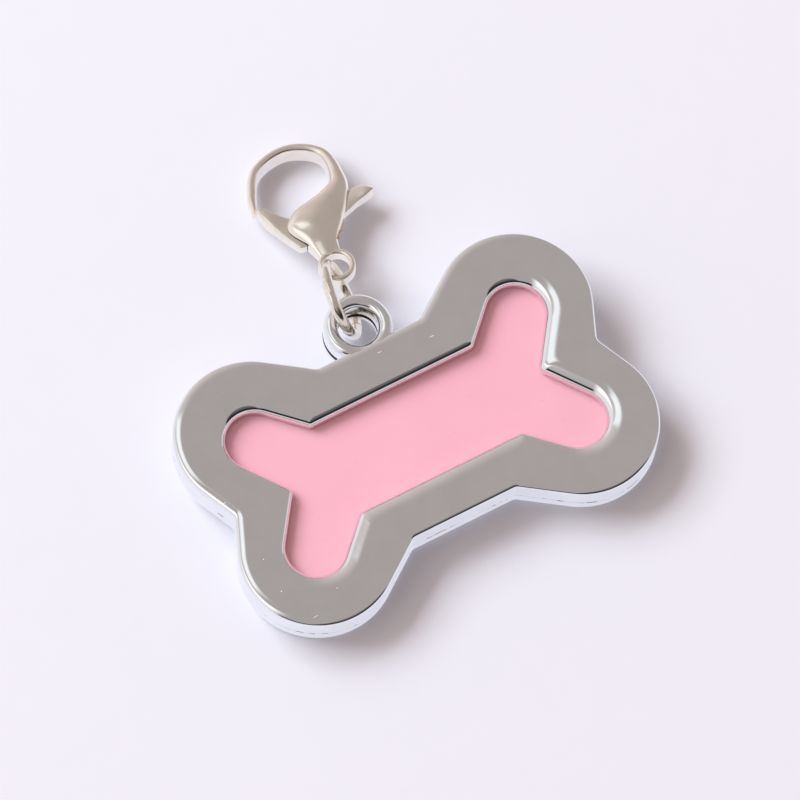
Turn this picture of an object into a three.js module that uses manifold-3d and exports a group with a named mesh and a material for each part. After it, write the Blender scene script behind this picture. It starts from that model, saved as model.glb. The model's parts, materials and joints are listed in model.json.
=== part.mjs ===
// Bone-shaped photo pet tag with a jump ring and a lobster clasp.
// Millimetres, +Z up. The tag leans on its standing jump ring, with the clasp laid out beyond it.

import * as THREE from 'three';
import { mergeVertices } from 'three/addons/utils/BufferGeometryUtils.js';
import Module from 'manifold-3d';

// Bone outline: four round lobes, joined by a straight waist and by a notch at each end.
const TAG_LENGTH = 40;
const TAG_WIDTH = 25.9;
const TAG_THICKNESS = 3.6;
const WAIST_WIDTH = 17.7;
const LOBE_RADIUS = 6.95;
const LOBE_SHOULDER_DEG = 125.5;
const LOBE_NOTCH_DEG = -24;
const OUTLINE_FILLET = 0.7;
const EDGE_ROUND = 0.35;

// Window in the front: a smaller bone, set in from the outline by these rims.
const RIM_END = 4.02;
const RIM_SIDE = 4.37;
const RIM_WAIST = 4;
const RIM_LOBE = 3.92;
const WINDOW_SHOULDER_DEG = 134.5;
const WINDOW_NOTCH_DEG = -36;
const WINDOW_FILLET = 0.35;
const LEAST_FILLET = 0.3;

// The face rolls down to the window, whose wall stands further in than the outline above.
const WINDOW_INSET = 0.4;
const ROLL_WIDTH = 1.6;
const ROLL_DEPTH = 0.9;

// Layers behind the window: the card in the bezel's rabbet, and the plate's raised pad behind it.
const WINDOW_DEPTH = 1.4;
const PLATE_THICKNESS = 1.35;
const SEAM_GAP = 0.06;
const SEAM_BREAK = 0.1;
const CARD_THICKNESS = 0.4;
const CARD_LAP = 0.9;
const CARD_GAP = 0.05;
const RABBET_GAP = 0.15;

// Lug on the waist: one rounded ring on each half of the tag.
const LUG_HOLE_RADIUS = 1.75;
const LUG_BAND = 1.3;
const LUG_WEB = 0.15;
const LUG_STEP = 0.1;
const LUG_OUTER_ROUND = 0.35;
const LUG_INNER_ROUND = 0.65;
const LUG_SEAM_ROUND = 0.3;
const LUG_BACK_ROUND = 0.5;

// Jump ring, standing on edge through the lug, with a butt cut.
const RING_WIRE = 1.05;
const RING_DIAMETER = 7.6;
const RING_CUT = 0.12;
const RING_CUT_DEG = 235;
const RING_HEADING_DEG = 13;
const RING_LEAN_DEG = 20;
const RING_SEAT_GAP = 0.08;

// Lobster clasp: eyelet, body and hook in one casting, in its own plane with the eyelet at zero.
const EYELET_HOLE_RADIUS = 1.15;
const EYELET_BAND = 0.5;
const EYELET_HEIGHT = 1.3;
const EYELET_ROUND = 0.22;
const EYELET_GAP = 0.2;
const EYELET_ON_RING_DEG = -16;
const EYELET_SHIFT_DEG = 45;
const CLASP_HEADING_DEG = 14;
const CLASP_FLOOR_GAP = 0.02;
const BODY_DEPTH = 3;
const BODY_CROWN = 0.6;
const NECK = { left: [-1.25, 0.95], right: [0.7, 1.4], depth: EYELET_HEIGHT };
const THROAT = { left: [-1.95, 2.4], right: [0.75, 2.5], depth: 1.9 };
const BELLY = { left: [-3.3, 4.5], right: [1.75, 4.45], depth: BODY_DEPTH };
const SHOULDER = { left: [-2.6, 5.95], right: [2.45, 5.95], depth: BODY_DEPTH };
const HOOK_ROOT = { left: [0.2, 7.5], right: [2.95, 7.4], depth: 2.6 };
const HOOK_CENTRE = [-1.4, 8.6];
const HOOK_SIDE = { angleDeg: 0, radius: 4.45, width: 1.6, depth: 2.3 };
const HOOK_RISE = { angleDeg: 45, radius: 4.7, width: 0.95, depth: 2.2 };
const HOOK_TOP = { angleDeg: 90, radius: 4.55, width: 0.8, depth: 2.1 };
const HOOK_FALL = { angleDeg: 140, radius: 4.55, width: 0.8, depth: 2 };
const HOOK_END = { angleDeg: 180, radius: 4.6, width: 0.85, depth: 1.8 };
const HOOK_TIP = { angleDeg: 197, radius: 4.68, width: 0.45, depth: 1.5 };

// Trigger lever in the body's slot, on a pin, with a leaf spring behind it.
const LEVER_DEPTH = 1.1;
const LEVER_GAP = 0.09;
const FINGER_DEPTH = 1.4;
const FINGER_EDGE_X = -3.45;
const TAB_DEPTH = 1.6;
const TAB_EDGE_X = 3.1;
const LEVER_TOP = [[-0.9, 5.98], [1.2, 6.62], [2.9, 7.15]];
const LEVER_TAB = [[3.3, 7.45], [4.35, 7.3], [5.05, 6.8], [4.5, 6.42], [3.4, 5.9]];
const LEVER_UNDER = [[1.5, 4.75], [-0.9, 3.6], [-1.9, 2.8], [-2.6, 2.65], [-3.45, 3.45]];
const LEVER_FINGER = [[-4.25, 4.6], [-5.05, 5.9], [-5.42, 7.05], [-4.85, 7.35], [-3.97, 6.49], [-2.8, 5.75]];
const PIN = [-1.3, 4.9];
const PIN_RADIUS = 0.45;
const PIN_GAP = 0.06;
const PIN_SINK = 0.2;
const SLOT_FLOOR = 2.5;
const SLOT_ROOF_GAP = 0.2;
const SPRING_LEAF = 0.16;
const SPRING_WIDTH = 0.8;
const SPRING_GAP = 0.1;
const SPRING_FOOT_X = 0.65;
const SPRING_BEND_X = -0.7;
const SPRING_END = [1, 4.1];

// Facets, how far a cutter runs past the face that it opens, and how near points are merged.
const LOBE_STEPS = 18;
const FILLET_STEPS = 3;
const ROUND_STEPS = 3;
const ROLL_STEPS = 5;
const LATHE_STEPS = 32;
const RING_STEPS = 40;
const WIRE_SIDES = 10;
const BODY_RINGS = 44;
const FACE_STEPS = 7;
const LEVER_STEPS = 60;
const PIN_SIDES = 16;
const OVERRUN = 1;
const WELD = 1e-5;

const radians = THREE.MathUtils.degToRad;
const at = (x, y) => new THREE.Vector2(x, y);
const wasm = await Module();
wasm.setup();

// Solid of a closed geometry, with its shared vertices merged and its faces turned outward.
function solid(geometry) {
  const bare = geometry.clone();
  bare.deleteAttribute('normal');
  bare.deleteAttribute('uv');
  const merged = mergeVertices(bare, WELD);
  const vertProperties = new Float32Array(merged.getAttribute('position').array);
  const triVerts = new Uint32Array(merged.getIndex().array);
  if (signedVolume(vertProperties, triVerts) < 0) {
    triVerts.reverse();
  }
  return new wasm.Manifold(new wasm.Mesh({ numProp: 3, vertProperties, triVerts }));
}

function signedVolume(positions, triangles) {
  const corner = (i) => new THREE.Vector3().fromArray(positions, 3 * triangles[i]);
  let volume = 0;
  for (let i = 0; i < triangles.length; i += 3) {
    volume += corner(i).dot(corner(i + 1).cross(corner(i + 2))) / 6;
  }
  return volume;
}

// Solid through rings of points with the same count; each end has its own triangles.
function loft(rings, firstCap, lastCap) {
  const count = rings[0].length;
  const index = [];
  for (let level = 0; level + 1 < rings.length; level += 1) {
    const low = level * count;
    const high = low + count;
    for (let i = 0; i < count; i += 1) {
      const next = (i + 1) % count;
      index.push(low + i, low + next, high + next);
      index.push(low + i, high + next, high + i);
    }
  }
  const last = (rings.length - 1) * count;
  firstCap.forEach(([a, b, c]) => index.push(c, b, a));
  lastCap.forEach(([a, b, c]) => index.push(last + a, last + b, last + c));
  const geometry = new THREE.BufferGeometry();
  const positions = rings.flat().flatMap((p) => [p.x, p.y, p.z]);
  geometry.setAttribute('position', new THREE.Float32BufferAttribute(positions, 3));
  geometry.setIndex(index);
  return solid(geometry);
}

// Solid of stacked outlines, each a list of points and a height, from the lowest up.
function stack(levels) {
  const rings = levels.map(({ points, z }) => points.map((p) => new THREE.Vector3(p.x, p.y, z)));
  const cap = ({ points }) => THREE.ShapeUtils.triangulateShape(points, []);
  return loft(rings, cap(levels[0]), cap(levels[levels.length - 1]));
}

function arc(centre, radius, fromDeg, toDeg, steps) {
  return Array.from({ length: steps + 1 }, (_, i) => {
    const angle = radians(THREE.MathUtils.lerp(fromDeg, toDeg, i / steps));
    return at(centre.x + radius * Math.cos(angle), centre.y + radius * Math.sin(angle));
  });
}

// Quarter round of an edge: how far it has drawn in at each height above the wall's end.
function quarterRound(width, height, steps) {
  return arc(at(0, 0), 1, 0, 90, steps).map(({ x, y }) => ({ inset: width * (1 - x), rise: height * y }));
}

// Bone outline, counter-clockwise, moved outward by grow.
function boneOutline(bone, grow) {
  const fillet = Math.max(bone.fillet - grow, LEAST_FILLET);
  const radius = bone.lobeRadius + grow;
  const half = bone.waist / 2 + grow;
  const lobe = at(bone.length / 2 - bone.lobeRadius, bone.width / 2 - bone.lobeRadius);
  const shoulder = radians(bone.shoulderDeg);
  const notch = radians(bone.notchDeg);
  const notchX = lobe.x + (radius + fillet + lobe.y * Math.sin(notch)) / Math.cos(notch);
  const rise = (half + fillet - lobe.y) * Math.sin(shoulder);
  const shoulderX = lobe.x + (radius + fillet - rise) / Math.cos(shoulder);
  const quarter = [
    ...arc(at(notchX, 0), fillet, 180, 180 + bone.notchDeg, FILLET_STEPS),
    ...arc(lobe, radius, bone.notchDeg, bone.shoulderDeg, LOBE_STEPS),
    ...arc(at(shoulderX, half + fillet), fillet, bone.shoulderDeg + 180, 270, FILLET_STEPS),
  ];
  const upper = [...quarter, ...quarter.map((p) => at(-p.x, p.y)).reverse()];
  const lower = upper.slice(1, -1).map((p) => at(p.x, -p.y)).reverse();
  return [...upper, ...lower];
}

// Ring about the Z axis whose section has rounded corners.
function roundedRing(inner, outer, bottom, top, rounds) {
  const corner = (x, y, radius, fromDeg) => arc(at(x, y), radius, fromDeg, fromDeg + 90, ROUND_STEPS);
  const { lowInner, lowOuter, topOuter, topInner } = rounds;
  const profile = [
    ...corner(inner + lowInner, bottom + lowInner, lowInner, 180),
    ...corner(outer - lowOuter, bottom + lowOuter, lowOuter, 270),
    ...corner(outer - topOuter, top - topOuter, topOuter, 0),
    ...corner(inner + topInner, top - topInner, topInner, 90),
  ];
  const lathe = new THREE.LatheGeometry([...profile, profile[0].clone()], LATHE_STEPS);
  return solid(lathe.rotateX(Math.PI / 2));
}

const evenRounds = (radius) => ({ lowInner: radius, lowOuter: radius, topOuter: radius, topInner: radius });

function rod(radius, bottom, top, x, y) {
  const cylinder = new THREE.CylinderGeometry(radius, radius, top - bottom, PIN_SIDES);
  return solid(cylinder.rotateX(Math.PI / 2).translate(x, y, (top + bottom) / 2));
}

// Flat plate of an outline, centred on Z zero.
function plate(points, depth) {
  const slab = new THREE.ExtrudeGeometry(new THREE.Shape(points), { depth, bevelEnabled: false });
  return solid(slab.translate(0, 0, -depth / 2));
}

const metal = (color, roughness) => new THREE.MeshStandardMaterial({ color, roughness, metalness: 1 });
const chrome = metal(0xc9c6c4, 0.12);
const nickel = metal(0xd8cfc2, 0.2);
const steel = metal(0xb5b5b8, 0.35);
const pinkCard = new THREE.MeshStandardMaterial({ color: 0xffbccf, roughness: 0.7, metalness: 0 });

function piece(name, manifold, material) {
  const { vertProperties, triVerts } = manifold.getMesh();
  const geometry = new THREE.BufferGeometry();
  geometry.setAttribute('position', new THREE.Float32BufferAttribute(vertProperties, 3));
  geometry.setIndex(Array.from(triVerts));
  geometry.computeVertexNormals();
  const mesh = new THREE.Mesh(geometry, material);
  mesh.name = name;
  return mesh;
}

// Places that several pieces share.
const tagBone = {
  length: TAG_LENGTH,
  width: TAG_WIDTH,
  waist: WAIST_WIDTH,
  lobeRadius: LOBE_RADIUS,
  shoulderDeg: LOBE_SHOULDER_DEG,
  notchDeg: LOBE_NOTCH_DEG,
  fillet: OUTLINE_FILLET,
};
const windowBone = {
  length: TAG_LENGTH - 2 * RIM_END,
  width: TAG_WIDTH - 2 * RIM_SIDE,
  waist: WAIST_WIDTH - 2 * RIM_WAIST,
  lobeRadius: LOBE_RADIUS - RIM_LOBE,
  shoulderDeg: WINDOW_SHOULDER_DEG,
  notchDeg: WINDOW_NOTCH_DEG,
  fillet: WINDOW_FILLET,
};
const tagLevel = (z, grow) => ({ z, points: boneOutline(tagBone, grow) });
const windowLevel = (z, grow) => ({ z, points: boneOutline(windowBone, grow) });

const bezelBottom = PLATE_THICKNESS + SEAM_GAP;
const cardTop = TAG_THICKNESS - WINDOW_DEPTH;
const cardBottom = cardTop - CARD_THICKNESS;
const padTop = cardBottom - CARD_GAP;
const lipBottom = cardTop + CARD_GAP;
const rabbetGrow = CARD_LAP - WINDOW_INSET;
const insideRabbet = rabbetGrow - RABBET_GAP;

const lugOuter = LUG_HOLE_RADIUS + LUG_BAND;
const lugMiddle = LUG_HOLE_RADIUS + LUG_BAND / 2;
const lugY = WAIST_WIDTH / 2 + LUG_WEB + LUG_HOLE_RADIUS;

function lugRing(bottom, top, rounds) {
  return roundedRing(LUG_HOLE_RADIUS, lugOuter, bottom, top, rounds).translate([0, lugY, 0]);
}

function frontBezel() {
  const wallTop = TAG_THICKNESS - EDGE_ROUND;
  const edge = quarterRound(EDGE_ROUND, EDGE_ROUND, ROUND_STEPS);
  const outside = stack([
    tagLevel(bezelBottom, -SEAM_BREAK),
    tagLevel(bezelBottom + SEAM_BREAK, 0),
    ...edge.map(({ inset, rise }) => tagLevel(wallTop + rise, -inset)),
  ]);
  const rollBottom = TAG_THICKNESS - ROLL_DEPTH;
  const roll = quarterRound(ROLL_WIDTH, ROLL_DEPTH, ROLL_STEPS);
  const opening = stack([
    windowLevel(cardTop, -WINDOW_INSET),
    ...roll.map(({ inset, rise }) => windowLevel(rollBottom + rise, inset - WINDOW_INSET)),
    windowLevel(TAG_THICKNESS + OVERRUN, ROLL_WIDTH - WINDOW_INSET),
  ]);
  const rabbet = stack([
    windowLevel(bezelBottom - OVERRUN, rabbetGrow),
    windowLevel(lipBottom, rabbetGrow),
  ]);
  const lug = lugRing(bezelBottom, TAG_THICKNESS - LUG_STEP, {
    lowInner: LUG_SEAM_ROUND,
    lowOuter: LUG_SEAM_ROUND,
    topOuter: LUG_OUTER_ROUND,
    topInner: LUG_INNER_ROUND,
  });
  return piece('front_bezel', outside.add(lug).subtract(opening).subtract(rabbet), chrome);
}

function backPlate() {
  const edge = quarterRound(EDGE_ROUND, EDGE_ROUND, ROUND_STEPS);
  const sheet = stack([
    ...edge.map(({ inset, rise }) => tagLevel(EDGE_ROUND - rise, -inset)).reverse(),
    tagLevel(PLATE_THICKNESS - SEAM_BREAK, 0),
    tagLevel(PLATE_THICKNESS, -SEAM_BREAK),
  ]);
  const pad = stack([windowLevel(PLATE_THICKNESS / 2, insideRabbet), windowLevel(padTop, insideRabbet)]);
  const lug = lugRing(0, PLATE_THICKNESS, {
    lowInner: LUG_BACK_ROUND,
    lowOuter: LUG_BACK_ROUND,
    topOuter: LUG_SEAM_ROUND,
    topInner: LUG_SEAM_ROUND,
  });
  return piece('back_plate', sheet.add(pad).add(lug), chrome);
}

function photoCard() {
  const card = stack([windowLevel(cardBottom, insideRabbet), windowLevel(cardTop, insideRabbet)]);
  return piece('photo_card', card, pinkCard);
}

// Wire bent round a circle in its own plane, open by the cut.
class RingPath extends THREE.Curve {
  constructor(radius, cut, cutDeg) {
    super();
    this.radius = radius;
    this.halfCut = cut / radius / 2;
    this.start = radians(cutDeg);
  }

  getPoint(t, target = new THREE.Vector3()) {
    const angle = this.start + THREE.MathUtils.lerp(this.halfCut, 2 * Math.PI - this.halfCut, t);
    return target.set(this.radius * Math.cos(angle), this.radius * Math.sin(angle), 0);
  }
}

const wireRadius = RING_WIRE / 2;
const ringRadius = RING_DIAMETER / 2 - wireRadius;

function jumpRing() {
  const section = new THREE.Shape(arc(at(0, 0), wireRadius, 0, 360, WIRE_SIDES).slice(0, -1));
  const extrudePath = new RingPath(ringRadius, RING_CUT, RING_CUT_DEG);
  const wire = new THREE.ExtrudeGeometry(section, { steps: RING_STEPS, extrudePath });
  return piece('jump_ring', solid(wire), nickel);
}

// Section of the hook: its inner edge is on the left, as the body runs on into it.
function hookSection({ angleDeg, radius, width, depth }) {
  const angle = radians(angleDeg);
  const fromCentre = (distance) => [
    HOOK_CENTRE[0] + distance * Math.cos(angle),
    HOOK_CENTRE[1] + distance * Math.sin(angle),
  ];
  return { left: fromCentre(radius - width), right: fromCentre(radius), depth };
}

// Clasp body: a teardrop between a left and a right edge, running on into the hook, with crowned faces.
function teardropAndHook() {
  const hook = [HOOK_SIDE, HOOK_RISE, HOOK_TOP, HOOK_FALL, HOOK_END, HOOK_TIP];
  const stations = [NECK, THROAT, BELLY, SHOULDER, HOOK_ROOT, ...hook.map(hookSection)];
  const rail = (side) => new THREE.CatmullRomCurve3(
    stations.map((station) => new THREE.Vector3(...station[side], station.depth / 2)),
  );
  const left = rail('left');
  const right = rail('right');
  const rings = Array.from({ length: BODY_RINGS + 1 }, (_, ring) => {
    const a = left.getPoint(ring / BODY_RINGS);
    const b = right.getPoint(ring / BODY_RINGS);
    const middle = a.clone().add(b).divideScalar(2);
    const half = b.clone().sub(a).divideScalar(2);
    const crown = Math.min(half.length(), BODY_CROWN * middle.z);
    const point = (x, z) => new THREE.Vector3(middle.x + half.x * x, middle.y + half.y * x, z);
    const wall = middle.z - crown;
    const top = arc(at(0, 0), 1, 0, 180, FACE_STEPS).map(({ x, y }) => point(x, wall + crown * y));
    const bottom = arc(at(0, 0), 1, 180, 360, FACE_STEPS).map(({ x, y }) => point(x, crown * y - wall));
    return [...top, ...bottom];
  });
  const cap = Array.from({ length: 2 * FACE_STEPS }, (_, i) => [0, i + 1, i + 2]);
  return loft(rings, cap, cap);
}

// Slot for the lever: open to both sides, and to the loop over the finger.
function leverSlot() {
  const left = BELLY.left[0] - OVERRUN;
  const right = HOOK_ROOT.right[0] + OVERRUN;
  const top = HOOK_ROOT.left[1];
  const roof = [...LEVER_TOP, LEVER_TAB[0]].map(([x, y]) => at(x, y + SLOT_ROOF_GAP));
  const outline = [
    at(left, SLOT_FLOOR),
    at(right, SLOT_FLOOR),
    at(right, top),
    ...roof.toReversed(),
    at(roof[0].x, top),
    at(left, top),
  ];
  return plate(outline, LEVER_DEPTH + 2 * LEVER_GAP);
}

function claspBody() {
  const half = EYELET_HEIGHT / 2;
  const outer = EYELET_HOLE_RADIUS + EYELET_BAND;
  const eyelet = roundedRing(EYELET_HOLE_RADIUS, outer, -half, half, evenRounds(EYELET_ROUND));
  const pinHole = rod(PIN_RADIUS + PIN_GAP, -BODY_DEPTH, BODY_DEPTH, ...PIN);
  const body = teardropAndHook().add(eyelet).subtract(leverSlot()).subtract(pinHole);
  return piece('clasp_body', body, nickel);
}

// Lever: along its top to the thumb tab, back below the pin, and round the finger that shuts the hook.
function claspTrigger() {
  const corners = [...LEVER_TOP, ...LEVER_TAB, ...LEVER_UNDER, ...LEVER_FINGER];
  const curve = new THREE.CatmullRomCurve3(corners.map(([x, y]) => new THREE.Vector3(x, y, 0)), true);
  const outline = curve.getPoints(LEVER_STEPS).slice(0, -1).map(({ x, y }) => at(x, y));
  const beside = (x, side) => {
    const far = x + side * TAG_LENGTH;
    const box = new THREE.BoxGeometry(TAG_LENGTH, TAG_LENGTH, TAG_LENGTH);
    return solid(box.translate((x + far) / 2, 0, 0));
  };
  const finger = plate(outline, FINGER_DEPTH).intersect(beside(FINGER_EDGE_X, -1));
  const tab = plate(outline, TAB_DEPTH).intersect(beside(TAB_EDGE_X, 1));
  const pinHole = rod(PIN_RADIUS + PIN_GAP, -LEVER_DEPTH, LEVER_DEPTH, ...PIN);
  const lever = plate(outline, LEVER_DEPTH).add(finger).add(tab).subtract(pinHole);
  return piece('clasp_trigger', lever, nickel);
}

function claspPin() {
  const half = BODY_DEPTH / 2 - PIN_SINK;
  return piece('clasp_pin', rod(PIN_RADIUS, -half, half, ...PIN), steel);
}

// Bent leaf: one leg on the slot's floor, the other up to the lever's arm.
function claspSpring() {
  const floor = SLOT_FLOOR + SPRING_GAP;
  const bend = at(SPRING_BEND_X, floor + SPRING_LEAF / 2);
  const end = at(...SPRING_END);
  const along = end.clone().sub(bend).normalize();
  const across = at(-along.y, along.x).multiplyScalar(SPRING_LEAF / 2);
  const leaf = plate([
    at(SPRING_FOOT_X, floor),
    at(SPRING_FOOT_X, floor + SPRING_LEAF),
    at(bend.x + 3 * SPRING_LEAF, floor + SPRING_LEAF),
    end.clone().sub(across),
    end.clone().add(across),
    bend.clone().add(across),
    at(bend.x - SPRING_LEAF / 2, floor),
  ], SPRING_WIDTH);
  return piece('clasp_spring', leaf, steel);
}

// How the tag, the ring and the clasp stand.
const ringLean = radians(RING_LEAN_DEG);
const ringHeading = radians(RING_HEADING_DEG);
const ringAhead = new THREE.Vector3(Math.sin(ringHeading), Math.cos(ringHeading), 0);
const ringAside = new THREE.Vector3(Math.cos(ringHeading), -Math.sin(ringHeading), 0);
const ringUp = new THREE.Vector3(0, 0, Math.cos(ringLean)).addScaledVector(ringAside, -Math.sin(ringLean));
const ringAcross = ringAhead.clone().cross(ringUp);

const ringCentreZ = ringRadius * Math.cos(ringLean) + wireRadius;
const ringReach = ringRadius - lugMiddle;
const ringClear = ringRadius - wireRadius - RING_SEAT_GAP;
const seatDrop = Math.sqrt(ringClear ** 2 - (ringReach + LUG_BAND / 2) ** 2);
const seatZ = ringCentreZ - seatDrop * Math.cos(ringLean);

const footY = TAG_WIDTH / 2 - EDGE_ROUND;
const tagLean = Math.asin(seatZ / (footY + lugY + lugMiddle));

const tag = new THREE.Group();
tag.rotation.x = tagLean;
tag.position.z = footY * Math.sin(tagLean) + EDGE_ROUND * (1 - Math.cos(tagLean));
tag.add(frontBezel(), backPlate(), photoCard());
tag.updateMatrixWorld();

// The ring turns about the lug's bar, at the origin of its frame.
const lugBar = tag.localToWorld(new THREE.Vector3(0, lugY + lugMiddle, TAG_THICKNESS / 2));
const ring = new THREE.Group();
ring.position.copy(lugBar);
ring.quaternion.setFromRotationMatrix(new THREE.Matrix4().makeBasis(ringAhead, ringUp, ringAcross));
const ringCentre = new THREE.Vector3(ringReach, (ringCentreZ - lugBar.z) / Math.cos(ringLean), 0);
const ringMesh = jumpRing();
ringMesh.position.copy(ringCentre);
ring.add(ringMesh);
ring.updateMatrixWorld();

// The eyelet hangs on the ring's wire, and the hook's far end lies on the floor.
const onRing = radians(EYELET_ON_RING_DEG);
const wireAtEyelet = ring.localToWorld(
  new THREE.Vector3(Math.cos(onRing), Math.sin(onRing), 0).multiplyScalar(ringRadius).add(ringCentre),
);
const claspHeading = radians(CLASP_HEADING_DEG);
const eyeletHeading = claspHeading + radians(EYELET_SHIFT_DEG);
const play = EYELET_HOLE_RADIUS - wireRadius - EYELET_GAP;
const eyeletCentre = new THREE.Vector3(Math.sin(eyeletHeading), Math.cos(eyeletHeading), 0)
  .multiplyScalar(play).add(wireAtEyelet);
const hookReach = HOOK_CENTRE[1] + HOOK_TOP.radius - HOOK_TOP.width / 2;
const hookHalf = HOOK_TOP.depth / 2;
const claspDrop = eyeletCentre.z - CLASP_FLOOR_GAP;
const claspPitch = Math.asin(claspDrop / Math.hypot(hookReach, hookHalf)) - Math.atan2(hookHalf, hookReach);

const clasp = new THREE.Group();
clasp.position.copy(eyeletCentre);
clasp.rotation.set(-claspPitch, 0, -claspHeading, 'ZXY');
clasp.add(claspBody(), claspTrigger(), claspPin(), claspSpring());

// The origin lies under the middle of the whole part, on the floor.
const petTag = new THREE.Group();
petTag.add(tag, ring, clasp);
const box = new THREE.Box3().setFromObject(petTag, true);
const middle = box.getCenter(new THREE.Vector3());
petTag.position.set(-middle.x, -middle.y, -box.min.z);

export default petTag;
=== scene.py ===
"""Bone-shaped photo pet tag on a jump ring and a lobster clasp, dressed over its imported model."""

import json
import math

import bmesh
import bpy
import numpy as np
from mathutils import Euler, Matrix, Vector


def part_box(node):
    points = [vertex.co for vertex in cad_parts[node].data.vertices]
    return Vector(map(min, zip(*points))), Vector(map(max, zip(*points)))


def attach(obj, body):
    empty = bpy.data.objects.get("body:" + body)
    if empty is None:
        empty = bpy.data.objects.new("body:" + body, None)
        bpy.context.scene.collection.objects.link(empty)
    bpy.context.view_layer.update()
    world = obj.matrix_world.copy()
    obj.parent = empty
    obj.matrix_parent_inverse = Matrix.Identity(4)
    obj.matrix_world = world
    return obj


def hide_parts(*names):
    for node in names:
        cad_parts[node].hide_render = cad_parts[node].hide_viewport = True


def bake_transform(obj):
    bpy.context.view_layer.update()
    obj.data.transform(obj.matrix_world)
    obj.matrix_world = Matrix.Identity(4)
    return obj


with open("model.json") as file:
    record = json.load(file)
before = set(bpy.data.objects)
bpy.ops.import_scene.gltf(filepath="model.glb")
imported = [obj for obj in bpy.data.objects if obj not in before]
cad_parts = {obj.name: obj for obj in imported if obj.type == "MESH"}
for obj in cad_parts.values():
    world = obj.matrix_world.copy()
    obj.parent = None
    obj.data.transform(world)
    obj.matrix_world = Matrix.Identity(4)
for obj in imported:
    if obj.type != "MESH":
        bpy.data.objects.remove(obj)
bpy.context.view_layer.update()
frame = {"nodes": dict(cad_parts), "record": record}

MM = 0.001

# Keeps the dressed curves inside the faceted ones of the model.
HAIR = 0.01 * MM

# Bone outline and its window, as in the part's source. Angles are in degrees.
TAG_LENGTH = 40 * MM
TAG_WIDTH = 25.9 * MM
TAG_THICKNESS = 3.6 * MM
WAIST_WIDTH = 17.7 * MM
LOBE_RADIUS = 6.95 * MM
RIM_END = 4.02 * MM
RIM_SIDE = 4.37 * MM
RIM_WAIST = 4 * MM
RIM_LOBE = 3.92 * MM
TAG_BONE = {
    "length": TAG_LENGTH,
    "width": TAG_WIDTH,
    "waist": WAIST_WIDTH,
    "lobe": LOBE_RADIUS,
    "shoulder": 125.5,
    "notch": -24,
    "fillet": 0.7 * MM,
}
WINDOW_BONE = {
    "length": TAG_LENGTH - 2 * RIM_END,
    "width": TAG_WIDTH - 2 * RIM_SIDE,
    "waist": WAIST_WIDTH - 2 * RIM_WAIST,
    "lobe": LOBE_RADIUS - RIM_LOBE,
    "shoulder": 134.5,
    "notch": -36,
    "fillet": 0.35 * MM,
}
LEAST_FILLET = 0.3 * MM

# Rounded edges of the tag, and the roll from its face down to the window.
EDGE_ROUND = 0.4 * MM
EDGE_REACH = 0.85 * MM
EDGE_SUPPORT = 0.05 * MM
BACK_ROUND = 0.35 * MM
WINDOW_INSET = 0.4 * MM
ROLL_WIDTH = 1.6 * MM
ROLL_DEPTH = 0.9 * MM
ROLL_SOFTENING = 0.7

# Layers of the tag, measured up from its back.
PLATE_THICKNESS = 1.35 * MM
SEAM_GAP = 0.006 * MM
SEAM_BREAK = 0.012 * MM
WINDOW_DEPTH = 1.4 * MM
CARD_GAP = 0.05 * MM
CARD_LAP = 0.9 * MM
BEZEL_BOTTOM = PLATE_THICKNESS + SEAM_GAP
LIP_BOTTOM = TAG_THICKNESS - WINDOW_DEPTH + CARD_GAP
RABBET_GROW = CARD_LAP - WINDOW_INSET

# Lug rings, one on each half.
LUG_HOLE = 1.75 * MM
LUG_BAND = 1.3 * MM
LUG_WEB = 0.15 * MM
LUG_Y = WAIST_WIDTH / 2 + LUG_WEB + LUG_HOLE
LUG_STEP = 0.1 * MM
LUG_OUTER_ROUND = 0.6 * MM
LUG_INNER_ROUND = 0.65 * MM
LUG_SEAM_ROUND = 0.3 * MM
LUG_BACK_ROUND = 0.62 * MM

# Jump ring. The slack keeps its wire clear of the lug and the eyelet as it swings.
RING_DIAMETER = 7.6 * MM
RING_WIRE = 1.05 * MM
WIRE_SLACK = 0.03 * MM
WIRE_RADIUS = RING_WIRE / 2 - WIRE_SLACK
RING_RADIUS = (RING_DIAMETER - RING_WIRE) / 2
RING_CUT = 0.12 * MM
RING_CUT_DEG = 235

# Clasp in its own plane, with the eyelet at zero and the hook towards +Y.
EYELET_HOLE = 1.15 * MM
EYELET_BAND = 0.5 * MM
EYELET_HALF = 1.3 * MM / 2
EYELET_ROUND = 0.24 * MM
PIN = Vector((-1.3, 4.9, 0)) * MM

# Body and hook of the clasp, in millimetres of its plane.
BODY_CROWN = 0.6
BODY_EDGES = [
    # left edge, right edge, depth
    ((-1.25, 0.95), (0.7, 1.4), 1.3),
    ((-1.95, 2.4), (0.75, 2.5), 1.9),
    ((-3.3, 4.5), (1.75, 4.45), 3),
    ((-2.6, 5.95), (2.45, 5.95), 3),
    ((0.2, 7.5), (2.95, 7.4), 2.6),
]
BELLY = BODY_EDGES[2]
HOOK_ROOT = BODY_EDGES[4]
HOOK_CENTRE = (-1.4, 8.6)
HOOK_SECTIONS = [
    # angle in degrees, outer radius, width, depth
    (0, 4.45, 1.6, 2.3),
    (45, 4.7, 0.95, 2.2),
    (90, 4.55, 0.8, 2.1),
    (140, 4.55, 0.8, 2),
    (180, 4.6, 0.85, 1.8),
    (197, 4.68, 0.45, 1.5),
]

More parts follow.
